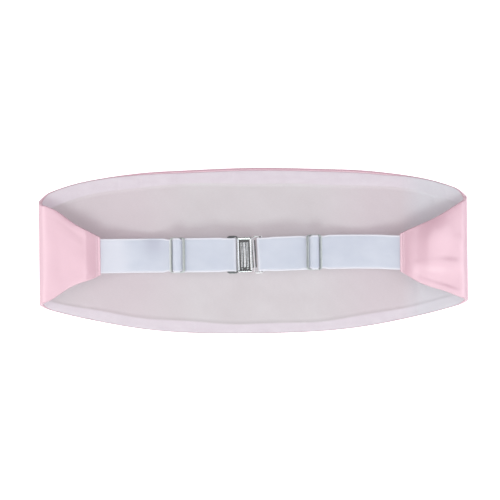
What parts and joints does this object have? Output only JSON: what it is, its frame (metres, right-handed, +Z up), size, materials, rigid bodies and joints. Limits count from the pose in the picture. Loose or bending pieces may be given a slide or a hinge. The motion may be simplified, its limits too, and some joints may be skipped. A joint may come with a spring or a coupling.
{
  "type": "cummerbund",
  "caption": "Satin cummerbund laid front down with its lining up, its ends rolled over and joined across the back by elastic straps with sliders and a hook and eye",
  "frame": {"origin": "on the surface the cummerbund lies on, under the middle of its outline seen from above", "axes": "+X along the cummerbund, to the right of someone looking down at the lining; +Y to its upper long edge; +Z up, away from the surface"},
  "size_m": [0.313, 0.1216, 0.0172],
  "materials": {
    "satin": "smooth satin weave, soft sheen",
    "lining": "thin plain weave, matt",
    "elastic": "fine ribbed elastic, matt",
    "nickel": "bright plated"
  },
  "bodies": {
    "root": {"shell": "satin", "lining": "lining", "elastic_left": "elastic", "elastic_right": "elastic", "slider_left": "nickel", "slider_right": "nickel", "hook": "nickel", "eye": "nickel"}
  },
  "joints": []
}
